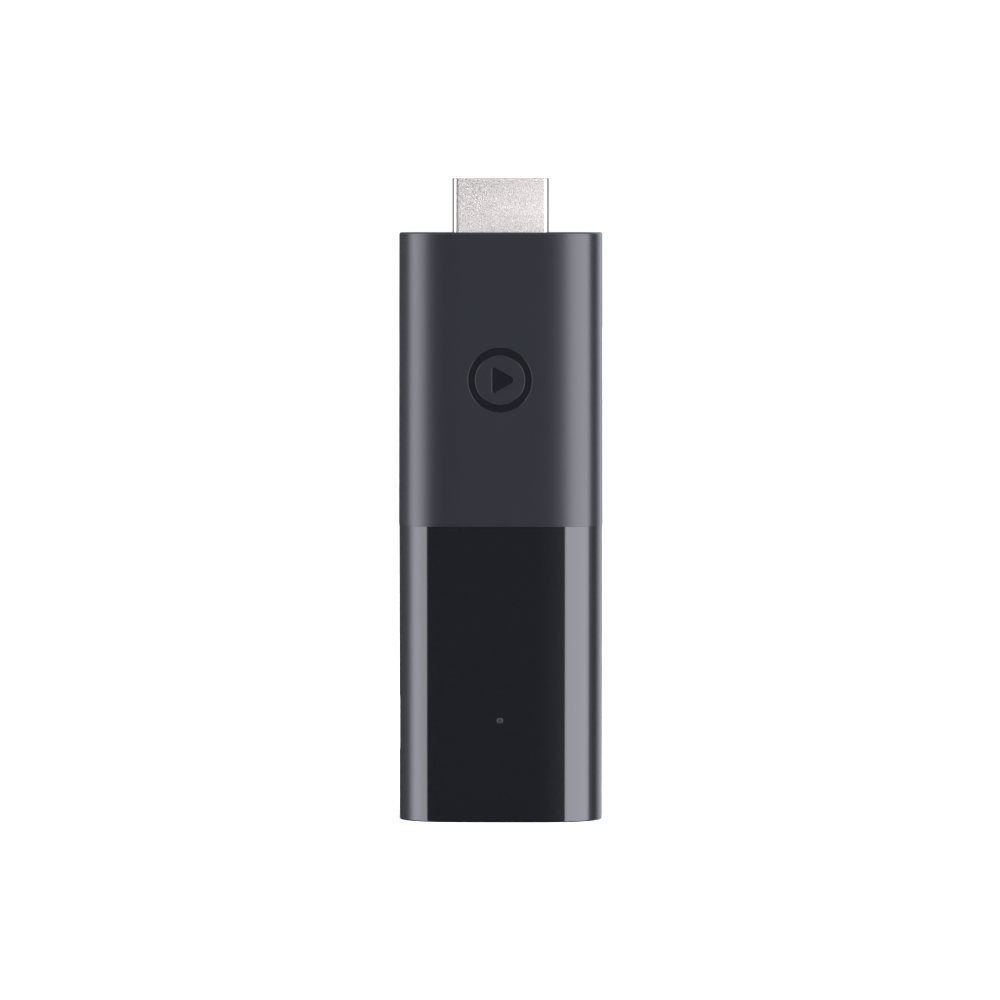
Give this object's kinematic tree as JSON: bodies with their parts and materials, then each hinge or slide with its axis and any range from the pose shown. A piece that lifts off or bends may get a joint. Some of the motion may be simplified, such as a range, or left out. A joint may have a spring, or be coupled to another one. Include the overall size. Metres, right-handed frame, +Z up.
{
  "type": "streaming media player stick",
  "caption": "Slim upright media stick: satin sleeve over a gloss lower shell, a video plug on its upper end, a light window in front and a power inlet in the side.",
  "frame": {"origin": "centre of the flat lower end face, which the stick stands on", "axes": "+Z up the stick towards the video plug, -Y out of the front face with the light window, +X to the right seen from the front"},
  "size_m": [0.0296, 0.015, 0.0927],
  "materials": {
    "satin_plastic": "fine satin moulded plastic, charcoal with a faint blue cast",
    "gloss_plastic": "mirror-polished moulded plastic, near black",
    "clear_plastic": "smoke-tinted translucent light pipe",
    "plug_steel": "nickel-plated sheet with a fine frosted grain",
    "liner_plastic": "moulded black insulator",
    "gilt_contact": "gold-plated contact",
    "board_laminate": "green solder resist on laminate",
    "chip_resin": "moulded black chip resin, unmarked",
    "ferrite": "sintered dark grey ferrite",
    "ceramic": "fired tan ceramic",
    "screen_sheet": "tinned steel sheet",
    "nickel_sheet": "nickel silver sheet",
    "spreader_aluminium": "plain rolled aluminium sheet",
    "heat_pad": "soft grey-blue silicone pad",
    "lamp_resin": "clear lamp resin"
  },
  "bodies": {
    "root": {"upper_sleeve": "satin_plastic", "lower_shell": "gloss_plastic", "led_light_pipe": "clear_plastic", "video_plug_shell": "plug_steel", "video_plug_insulator": "liner_plastic", "power_socket_shell": "plug_steel", "power_socket_tongue": "liner_plastic", "main_board": "board_laminate", "processor_chip": "chip_resin", "memory_chip_1": "chip_resin", "memory_chip_2": "chip_resin", "storage_chip": "chip_resin", "power_chip": "chip_resin", "power_inductor_1": "ferrite", "power_inductor_2": "ferrite", "power_inductor_3": "ferrite", "bulk_capacitor_1": "ceramic", "bulk_capacitor_2": "ceramic", "main_crystal": "nickel_sheet", "radio_crystal": "nickel_sheet", "radio_module": "screen_sheet", "surge_array_1": "chip_resin", "surge_array_2": "chip_resin", "status_led": "lamp_resin", "antenna_lower": "nickel_sheet", "antenna_side": "nickel_sheet", "shield_fence": "screen_sheet", "shield_lid": "screen_sheet", "rear_shield_can": "screen_sheet", "processor_pad": "heat_pad", "lid_pad": "heat_pad", "storage_pad": "heat_pad", "front_heat_spreader": "spreader_aluminium", "rear_heat_spreader": "spreader_aluminium", "video_contact_01": "gilt_contact", "video_contact_02": "gilt_contact", "video_contact_03": "gilt_contact", "video_contact_04": "gilt_contact", "video_contact_05": "gilt_contact", "video_contact_06": "gilt_contact", "video_contact_07": "gilt_contact", "video_contact_08": "gilt_contact", "video_contact_09": "gilt_contact", "video_contact_10": "gilt_contact", "video_contact_11": "gilt_contact", "video_contact_12": "gilt_contact", "video_contact_13": "gilt_contact", "video_contact_14": "gilt_contact", "video_contact_15": "gilt_contact", "video_contact_16": "gilt_contact", "video_contact_17": "gilt_contact", "video_contact_18": "gilt_contact", "video_contact_19": "gilt_contact", "power_contact_1": "gilt_contact", "power_contact_2": "gilt_contact", "power_contact_3": "gilt_contact", "power_contact_4": "gilt_contact", "power_contact_5": "gilt_contact"}
  },
  "joints": []
}
